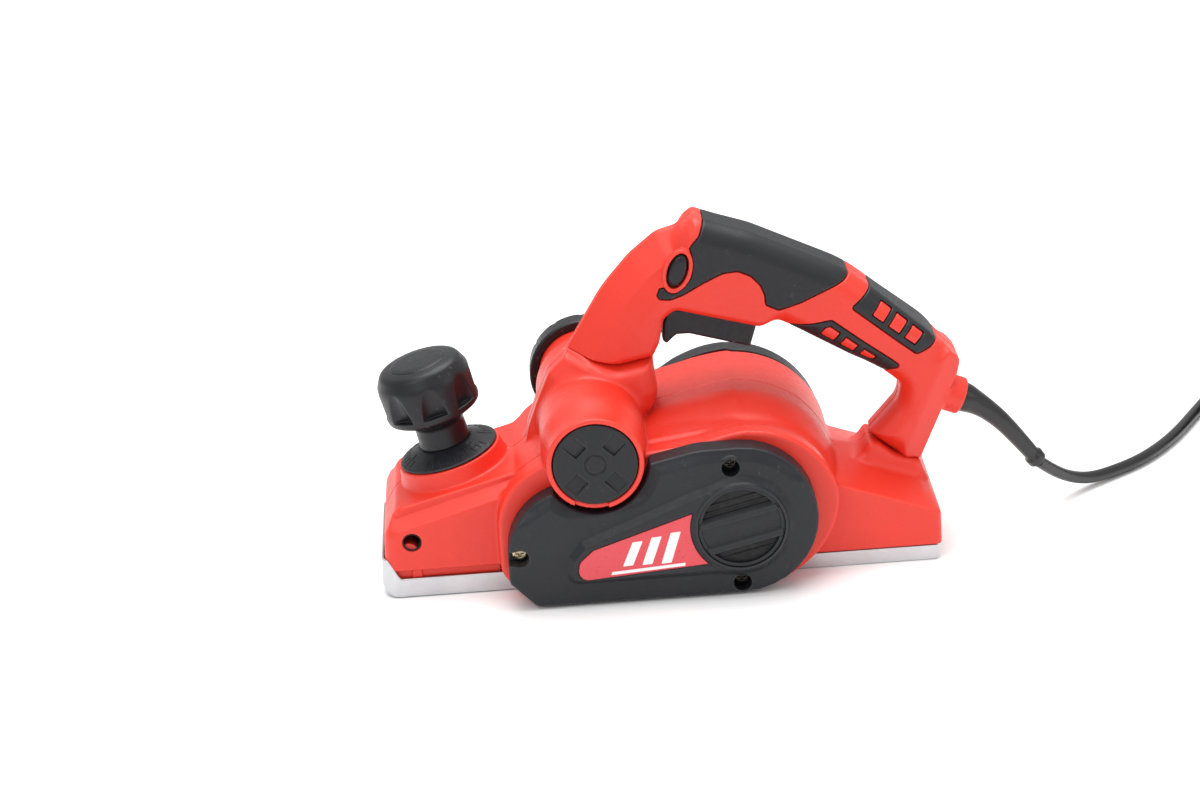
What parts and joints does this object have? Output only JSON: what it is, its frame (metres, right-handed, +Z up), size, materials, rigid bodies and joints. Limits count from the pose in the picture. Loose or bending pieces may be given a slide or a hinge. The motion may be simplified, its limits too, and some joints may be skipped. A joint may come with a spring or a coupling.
{
  "type": "electric hand planer",
  "caption": "Corded electric hand planer with a loop handle, adjustable front sole, belt-driven cutter drum and side chip outlet.",
  "frame": {"origin": "middle of the sole's underside, on the rear sole's plane", "axes": "+X towards the rear, where the cord leaves; +Y away from the belt cover; +Z up"},
  "size_m": [0.563, 0.2476, 0.1805],
  "materials": {
    "red_housing": "fine-textured red housing plastic",
    "dark_plastic": "fine-textured charcoal plastic",
    "soft_grip": "soft-touch overmould",
    "sole_metal": "ground cast aluminium",
    "steel": "turned steel",
    "screws": "yellow-passivated steel",
    "carbide": "ground carbide",
    "laminations": "stacked laminations, varnished",
    "copper": "copper segments",
    "inner_plastic": "moulded inner parts",
    "belt_rubber": "moulded belt",
    "label": "printed label",
    "cable": "smooth flexible sheath",
    "brass": "bare brass",
    "carbon": "pressed carbon",
    "spring_steel": "drawn wire"
  },
  "bodies": {
    "planer": {"shoe_spring": "spring_steel", "base_frame": "sole_metal", "drum_bearings": "steel", "stator": "laminations", "rotor_bearings": "steel", "carbon_brushes": "carbon", "brush_holders": "brass", "motor_end_cap": "dark_plastic", "end_cap_screws": "screws", "drive_belt": "belt_rubber", "belt_cover": "dark_plastic", "belt_cover_screws": "screws", "vent_insert": "dark_plastic", "label_plate": "label", "body_left_shell": "red_housing", "body_right_shell": "red_housing", "body_screws": "screws", "handle_left_shell": "red_housing", "handle_right_shell": "red_housing", "handle_screws": "screws", "front_grip": "soft_grip", "rear_grip": "soft_grip", "trigger_pin": "steel", "switch_body": "inner_plastic", "trigger_spring": "spring_steel", "capacitor": "inner_plastic", "cord_clamp": "inner_plastic", "chip_duct": "inner_plastic", "cord": "cable", "strain_relief": "cable", "cord_coil": "cable", "cord_tail": "cable", "cord_plug": "cable", "plug_pins": "brass"},
    "rotor": {"rotor_shaft": "steel", "armature": "laminations", "commutator": "copper", "cooling_fan": "inner_plastic", "drive_pulley": "steel"},
    "cutter": {"cutter_drum": "steel", "cutter_blades": "carbide", "blade_clamps": "steel", "clamp_screws": "screws", "drum_pulley": "inner_plastic"},
    "depth_adjuster": {"depth_knob": "dark_plastic", "depth_dial": "dark_plastic"},
    "front_sole": {"front_shoe": "sole_metal", "guide_pins": "steel", "shoe_stud": "steel"},
    "trigger_lever": {"trigger": "dark_plastic"},
    "lock_off": {"lock_off_button": "dark_plastic"},
    "blanking_plug": {"port_plug": "dark_plastic"},
    "hose_adapter": {"port_adapter": "dark_plastic"}
  },
  "joints": [
    {"name": "drum_spin", "type": "hinge", "parent": "planer", "child": "cutter", "pos_m": [-0.042, 0, 0.028], "axis": [0, 1, 0], "continuous": true},
    {"name": "rotor_spin", "type": "hinge", "parent": "planer", "child": "rotor", "pos_m": [0.04, 0, 0.041], "axis": [0, 1, 0], "continuous": true},
    {"name": "depth_knob_turn", "type": "hinge", "parent": "planer", "child": "depth_adjuster", "pos_m": [-0.1026, 0, 0.061], "axis": [0.2419, 0, -0.9703], "range_deg": [0, 330]},
    {"name": "shoe_slide", "type": "slide", "parent": "planer", "child": "front_sole", "axis": [-0.2419, 0, 0.9703], "range_m": [0, 0.003], "deforming": ["shoe_spring"]},
    {"name": "trigger_pull", "type": "hinge", "parent": "planer", "child": "trigger_lever", "pos_m": [0.0525, 0, 0.127], "axis": [0, 1, 0], "range_deg": [0, 6], "stiffness_Nm_per_rad": 2, "springref_deg": -3.44, "deforming": ["trigger_spring"]},
    {"name": "lock_off_press", "type": "slide", "parent": "planer", "child": "lock_off", "axis": [0, 1, 0], "range_m": [-0.003, 0.003], "stiffness_N_per_m": 800},
    {"name": "plug_removal", "type": "slide", "parent": "planer", "child": "blanking_plug", "axis": [0, -1, 0], "range_m": [0, 0.03]},
    {"name": "adapter_removal", "type": "slide", "parent": "planer", "child": "hose_adapter", "axis": [0, 1, 0], "range_m": [0, 0.03]}
  ],
  "couplings": [
    {"joint": "rotor_spin", "follows": "drum_spin", "ratio": 1.6667},
    {"joint": "depth_knob_turn", "follows": "shoe_slide", "rad_per_m": 1919.8}
  ]
}
